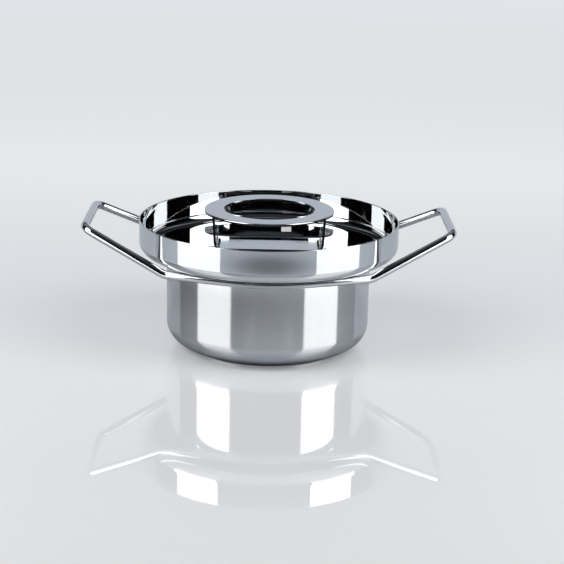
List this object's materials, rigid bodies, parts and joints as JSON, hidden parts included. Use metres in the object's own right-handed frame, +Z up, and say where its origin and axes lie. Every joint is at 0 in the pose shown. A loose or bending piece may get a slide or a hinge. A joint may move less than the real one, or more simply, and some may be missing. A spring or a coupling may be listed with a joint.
{
  "type": "lidded soup pot",
  "caption": "Low round steel soup pot with a wide collar, upswept bent-rod side handles and a recessed flat lid lifted by a ring on a bracket.",
  "frame": {"origin": "centre of the base on the table", "axes": "+Z up; +X towards the right handle, so X runs across both handles; -Y is the front"},
  "size_m": [0.358, 0.254, 0.1358],
  "materials": {
    "polished_steel": "polished stainless sheet, fine satin on the straight body",
    "mirror_steel": "mirror-polished stainless",
    "satin_steel": "fine satin stainless",
    "rod_steel": "polished stainless rod",
    "weld_steel": "ground and polished weld",
    "aluminium_core": "plain aluminium, sealed in"
  },
  "bodies": {
    "pot": {"pot_shell": "polished_steel", "base_core": "aluminium_core", "base_cap": "satin_steel", "handle_left": "rod_steel", "handle_right": "rod_steel", "handle_seat_welds": "weld_steel", "handle_butt_welds": "weld_steel"},
    "lid": {"lid_plate": "mirror_steel", "lid_bracket": "mirror_steel", "lid_spot_welds": "weld_steel", "lid_ring": "satin_steel", "ring_fillet_welds": "weld_steel"}
  },
  "joints": [
    {"name": "lid_lift", "type": "slide", "parent": "pot", "child": "lid", "axis": [0, 0, 1], "range_m": [0, 0.06]}
  ]
}
